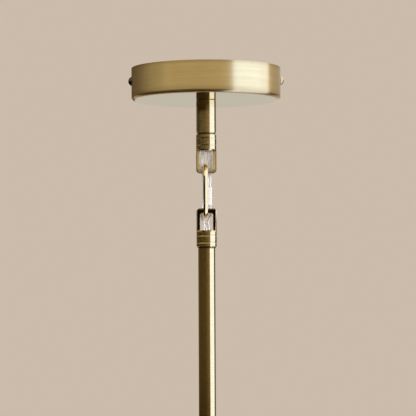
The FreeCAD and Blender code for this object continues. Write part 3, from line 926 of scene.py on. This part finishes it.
def card(name, turns, edges, tints):
    """A lit strip between level arcs, tinted at each end, that only shows in reflections."""
    made, nodes = new_material(name)
    x, y, _ = nodes.split(nodes.place())
    turn = nodes.math("ARCTAN2", x, -y)
    limits = {"From Min": math.radians(turns[0]), "From Max": math.radians(turns[1])}
    share = nodes.node("ShaderNodeMapRange", {}, {"Value": turn, **limits})
    nodes.surface({"Color": nodes.mix(share, *tints)}, "ShaderNodeEmission")
    piece = grid_object(name, [arc(turns, *edge) for edge in edges], made)
    for ray in ("camera", "diffuse", "transmission", "shadow", "volume_scatter"):
        setattr(piece, "visible_" + ray, False)


def reflector(name, turns, elevations, tints):
    """An upright card between two elevations in degrees."""
    distance = 3.4
    eye = -0.13
    heights = [eye + distance * math.tan(math.radians(elevation)) for elevation in elevations]
    card(name, turns, [(distance, height) for height in heights], tints)


def floor_card(name, turns, distances, tint):
    """A card just above the floor."""
    height = -0.6
    card(name, turns, [(distance, height) for distance in distances], (tint, tint))


def groove_seams(end, direction, grime_and_shade):
    """A barrel's grooves, from its outer end inwards: low, high and share of painted shade."""
    middles = [end + direction * at for at in GROOVES]
    return [(middle - HALF_GROOVE, middle + HALF_GROOVE, grime_and_shade) for middle in middles]


class SUSPENSION_OT_canopy(Operator):
    """Brush the canopy and its side screws"""

    bl_idname = "suspension.canopy"
    bl_label = "Canopy"

    def execute(self, context):
        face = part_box("canopy_shell")[0].z
        brass = canopy_brass("canopy_brass", roughness=0.33, polished=0.06, face=face)
        dress(brass, "canopy_shell")
        # The screws take painted shade on their left side
        brass = drawn_brass("screw_brass", roughness=0.2, dulling=0.3, age=0.5, painted_left_shade=0.85)
        dress(brass, "canopy_screws")
        return {"FINISHED"}


class SUSPENSION_OT_fixings(Operator):
    """Finish the bracket, the terminals and the clamping pieces inside the canopy"""

    bl_idname = "suspension.fixings"
    bl_label = "Ceiling fixings"

    def execute(self, context):
        for name, tone, roughness, nodes in (
            ("bracket_steel", (0.44, 0.44, 0.42), 0.5, ["ceiling_bracket"]),
            ("screw_steel", (0.62, 0.62, 0.60), 0.28, ["earth_screw"]),
            ("nut_steel", (0.55, 0.55, 0.53), 0.32, ["canopy_nut", "canopy_washer"]),
        ):
            dress(plated_steel(name, tone, roughness), *nodes)
        for name, tone, shade, roughness, node in (
            ("terminal_plastic", (0.86, 0.85, 0.80), (0.74, 0.72, 0.65), 0.42, "terminal_block"),
            ("bush_plastic", (0.80, 0.80, 0.78), (0.66, 0.65, 0.62), 0.4, "wire_bush"),
        ):
            dress(moulded_plastic(name, tone, shade, roughness), node)
        brass = drawn_brass("terminal_brass", roughness=0.3, dulling=0.3)
        dress(brass, "terminal_sleeves", "rod_top_plug", "rod_end_plug")
        return {"FINISHED"}


class SUSPENSION_OT_hanging(Operator):
    """Finish the stem, the loops and the rod"""

    bl_idname = "suspension.hanging"
    bl_label = "Stem, loops and rod"
    neck_painted_shade = 0.85

    def execute(self, context):
        dress(turned_brass("turned_brass", roughness=0.14, line_scale=0.6, dulling=0.12), "stem")
        low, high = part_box("upper_loop")
        bow = (low.z, high.z - BARREL)
        # The neck and the grooves take painted shade
        seams = [(high.z - NECK, high.z, self.neck_painted_shade), *groove_seams(high.z, -1, grime_and_shade=0.2)]
        # The upper flats are painted pale: a painted highlight
        painted_highlight_tone = (0.92, 0.76, 0.44)
        brass = loop_brass("upper_loop_brass", bow, seams, flat_painted_tone=painted_highlight_tone, flat_roughness=0.5)
        piece = eased_loop("upper_eased_loop", "upper_loop", bow, brass, ease=0.08, roll=1.3 * MM)
        self.ease("upper_loop", "canopy", piece)
        low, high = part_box("lower_loop")
        bow = (low.z + BARREL, high.z)
        # The neck and the grooves take painted shade
        seams = [(low.z, low.z + NECK, self.neck_painted_shade), *groove_seams(low.z, 1, grime_and_shade=0.5)]
        # The lower flats are painted near black: painted shade
        dark = (0.02, 0.015, 0.008)
        brass = loop_brass("lower_loop_brass", bow, seams, flat_painted_tone=dark, flat_roughness=0.2)
        piece = eased_loop("lower_eased_loop", "lower_loop", bow, brass, ease=0.55, roll=0.0)
        self.ease("lower_loop", "rod", piece)
        dress(turned_brass("rod_brass", roughness=0.13, line_scale=0.7, dulling=0.05), "rod_tube")
        return {"FINISHED"}

    def ease(self, node, body, piece):
        """Put an eased loop in its node's place."""
        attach(piece, body)
        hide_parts(node)


class SUSPENSION_OT_link(Operator):
    """Forge the link with its flat side"""

    bl_idname = "suspension.link"
    bl_label = "Link"

    def execute(self, context):
        brass = drawn_brass("link_brass", roughness=0.1, dulling=0.15)
        piece = forged_link("forged_link", *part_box("link"), brass)
        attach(piece, "link")
        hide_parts("link")
        return {"FINISHED"}


class SUSPENSION_OT_threads(Operator):
    """Cut the threads of the nipples"""

    bl_idname = "suspension.threads"
    bl_label = "Threaded nipples"

    def execute(self, context):
        steel = plated_steel("thread_steel", tone=(0.55, 0.55, 0.53), roughness=0.3)
        dress(steel, "stem_nipple", "rod_nipple")
        for node, body, groove in (
            ("canopy_nipple", "canopy", None),
            ("rod_end_nipple", "rod", END_GROOVE),
        ):
            low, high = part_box(node)
            outer = (high.x - low.x) / 2
            piece = threaded_nipple(node + "_thread", low.z, high.z, outer, BORE, groove, steel)
            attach(piece, body)
            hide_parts(node)
        return {"FINISHED"}


class SUSPENSION_OT_leads(Operator):
    """Lay the leads through the canopy, the loops and the rod"""

    bl_idname = "suspension.leads"
    bl_label = "Leads"
    points_per_bend = 24
    points_along_rod = 64

    def execute(self, context):
        materials = [clear_sheath("lead_sheath"), tinned_copper("lead_core")]
        canopy = make_leads("canopy_leads", CANOPY_ROUTES, self.points_per_bend, materials)
        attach(canopy, "canopy")
        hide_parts("canopy_wires")
        upper = make_leads("upper_leads", UPPER_ROUTES, self.points_per_bend, materials)
        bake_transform(upper)
        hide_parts("upper_link_wires")
        lower = make_leads("lower_leads", LOWER_ROUTES, self.points_per_bend, materials)
        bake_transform(lower)
        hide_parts("lower_link_wires")
        rod = make_leads("rod_leads", ROD_ROUTES, self.points_along_rod, materials)
        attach(rod, "rod")
        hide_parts("rod_wires")
        for piece in (canopy, upper, lower, rod):
            piece.visible_shadow = False
        return {"FINISHED"}


class SUSPENSION_OT_sleeve(Operator):
    """Shrink the white sleeve round two leads"""

    bl_idname = "suspension.sleeve"
    bl_label = "Sleeve"

    def execute(self, context):
        settings = context.scene.suspension_leads
        low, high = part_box("wire_sleeve")
        reach = settings.diameter / 2 + settings.sleeve_wall
        material = shrunk_plastic("sleeve_plastic")
        piece = shrunk_sleeve("shrunk_sleeve", low.z, high.z, SLEEVED_LEADS, reach, material)
        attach(piece, "link")
        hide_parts("wire_sleeve")
        return {"FINISHED"}


class SUSPENSION_OT_stage(Operator):
    """Set up the floor, the light and the camera"""

    bl_idname = "suspension.stage"
    bl_label = "Stage"
    key_place = (1.7, -2.2, 1.1)
    key_size = 1.4
    shadow_reach = (0.5, 2.2)  # from where the floor fades, and where it has become background
    floor_reach = 60.0
    view_reach = 200.0

    def execute(self, context):
        settings = context.scene.suspension_stage
        self.light(context.scene, settings)
        self.floor(settings)
        self.reflections()
        self.camera(context.scene, settings)
        context.scene.view_settings.view_transform = "Standard"
        return {"FINISHED"}

    def light(self, scene, settings):
        """A pale world that fills with plain light, and a soft key lamp from the right."""
        world = bpy.data.worlds.new("studio")
        world.use_nodes = True
        scene.world = world
        nodes = Nodes(world.node_tree)
        seen = nodes.node("ShaderNodeLightPath", {}, {}, "Is Camera Ray")
        path = seen
        for ray in ("Is Glossy Ray", "Is Transmission Ray"):
            seen = seen.math("MAXIMUM", path.other(ray))
        tint = nodes.mix(seen, (settings.fill,) * 3, settings.background)
        shader = nodes.node("ShaderNodeBackground", {}, {"Color": tint})
        nodes.node("ShaderNodeOutputWorld", {}, {"Surface": shader})
        lamp = bpy.data.lights.new("key", "AREA")
        lamp.energy = settings.key_power
        lamp.size = self.key_size
        key = bpy.data.objects.new("key", lamp)
        key.location = self.key_place
        aim = Vector((0, 0, settings.target_height)) - key.location
        key.rotation_mode = "QUATERNION"
        key.rotation_quaternion = aim.to_track_quat("-Z", "Y")
        key.visible_glossy = False
        scene.collection.objects.link(key)

    def floor(self, settings):
        """A pale floor that keeps the shadow near the object and fades into the background."""
        made, nodes = new_material("floor")
        x, y, _ = nodes.split(nodes.place())
        fade = nodes.step((x * x + y * y) ** 0.5, *self.shadow_reach)
        mottle = nodes.noise(nodes.place(), scale=6.0, detail=4.0)
        darker = tuple(part * 0.97 for part in settings.background)
        tint = nodes.mix(mottle, darker, settings.background)
        near = nodes.node("ShaderNodeBsdfDiffuse", {}, {"Color": tint})
        far = nodes.node("ShaderNodeEmission", {}, {"Color": colour(settings.background)})
        nodes.show(nodes.node("ShaderNodeMixShader", {}, {0: fade, 1: near, 2: far}))
        ends = (-self.floor_reach, self.floor_reach)
        corners = [[Vector((x, y, settings.floor_height)) for x in ends] for y in ends]
        grid_object("floor", corners, made)

    def reflections(self):
        """What the metal sees: a dim room, a paler wall above, a window and a partly lit floor."""
        # Turn in degrees to the right of the front, and brightness there
        deep = [(-176, 0.015), (42, 0.015)]
        turns = (-176, -125, -108, -30, -5, 15, 42)
        low = list(zip(turns, (0.08, 0.13, 0.08, 0.08, 0.115, 0.21, 0.3)))
        room = list(zip(turns, (0.12, 0.12, 0.02, 0.02, 0.055, 0.16, 0.28)))
        upper = [
            (-176, 0.04), (-135, 0.25), (-117, 0.66), (-97, 1.04), (-68, 1.29),
            (-66, 1.66), (-62, 1.66), (-60, 1.39), (0, 1.34), (42, 1.34),
        ]
        amber = (1.0, 0.72, 0.28)
        straw = (0.86, 0.77, 0.56)
        for stops, elevations, tint, name in (
            (deep, (-8, -3), amber, "room_deep"),
            (low, (-3, 3.6), amber, "room_low"),
            (room, (3.6, 11), amber, "room"),
            (upper, (11, 70), straw, "upper_wall"),
        ):
            for (start, dim), (end, less_dim) in zip(stops, stops[1:]):
                tints = [tuple(level * part for part in tint) for level in (dim, less_dim)]
                reflector("%s_%d" % (name, start + 180), (start, end), elevations, tints)
        window = (1.36, 1.66, 2.42)
        wall = (0.60, 0.60, 0.57)
        dusk = (0.12, 0.09, 0.06)
        reflector("window", (42, 112), (-30, 55), (window, window))
        reflector("room_right", (112, 140), (-8, 13), ((0.05, 0.035, 0.015), dusk))
        reflector("room_behind", (140, 168), (-8, 13), (dusk, (0.6, 0.55, 0.5)))
        reflector("upper_behind", (112, 168), (13, 70), ((1.8, 1.55, 1.1), (1.4, 1.35, 1.3)))
        reflector("wall_behind", (168, 184), (-35, 4), (wall, wall))
        reflector("wall_left", (184, 206), (-35, -8), (wall, wall))
        dark = (0.03, 0.024, 0.014)
        floor_card("lit_floor", (42, 112), (0.18, 3.3), window)
        floor_card("floor_below", (42, 112), (0.02, 0.18), dark)
        floor_card("floor_left", (-136, 42), (0.02, 3.3), dark)
        floor_card("floor_right", (112, 140), (0.02, 3.3), dark)

    def camera(self, scene, settings):
        """The photograph's view."""
        data = bpy.data.cameras.new("camera")
        camera = bpy.data.objects.new("camera", data)
        camera.location = (settings.target_side, -settings.camera_distance, settings.camera_height)
        aim = Vector((settings.target_side, 0, settings.target_height)) - camera.location
        camera.rotation_mode = "QUATERNION"
        roll = Quaternion((0, 0, 1), settings.roll)
        camera.rotation_quaternion = aim.to_track_quat("-Z", "Y") @ roll
        data.lens = data.sensor_width * aim.length / settings.frame_height
        data.clip_end = self.view_reach
        scene.collection.objects.link(camera)
        scene.camera = camera


class SUSPENSION_PT_panel(Panel):
    """Lists the steps and their settings"""

    bl_idname = "SUSPENSION_PT_panel"
    bl_label = "Suspension"
    bl_space_type = "VIEW_3D"
    bl_region_type = "UI"
    bl_category = "Suspension"

    def draw(self, context):
        for operator in OPERATORS:
            self.layout.operator(operator.bl_idname)
        for name, group in SETTINGS.items():
            box = self.layout.box()
            box.label(text=group.__doc__)
            for prop in group.__annotations__:
                box.prop(getattr(context.scene, name), prop)


SETTINGS = {
    "suspension_brass": BrassSettings,
    "suspension_loops": LoopSettings,
    "suspension_link": LinkSettings,
    "suspension_threads": ThreadSettings,
    "suspension_leads": LeadSettings,
    "suspension_stage": StageSettings,
}
OPERATORS = (
    SUSPENSION_OT_leads,
    SUSPENSION_OT_sleeve,
    SUSPENSION_OT_threads,
    SUSPENSION_OT_canopy,
    SUSPENSION_OT_fixings,
    SUSPENSION_OT_hanging,
    SUSPENSION_OT_link,
    SUSPENSION_OT_stage,
)


def register():
    """Register the settings, the steps and the panel."""
    for name, group in SETTINGS.items():
        bpy.utils.register_class(group)
        setattr(bpy.types.Scene, name, PointerProperty(type=group))
    for operator in OPERATORS:
        bpy.utils.register_class(operator)
    bpy.utils.register_class(SUSPENSION_PT_panel)


def unregister():
    """Take back what register added."""
    bpy.utils.unregister_class(SUSPENSION_PT_panel)
    for operator in reversed(OPERATORS):
        bpy.utils.unregister_class(operator)
    for name, group in SETTINGS.items():
        delattr(bpy.types.Scene, name)
        bpy.utils.unregister_class(group)


def main():
    """Register the steps and build everything in order."""
    register()
    bpy.ops.suspension.leads()
    bpy.ops.suspension.sleeve()
    bpy.ops.suspension.threads()
    bpy.ops.suspension.canopy()
    bpy.ops.suspension.fixings()
    bpy.ops.suspension.hanging()
    bpy.ops.suspension.link()
    bpy.ops.suspension.stage()


if __name__ == "__main__":
    main()
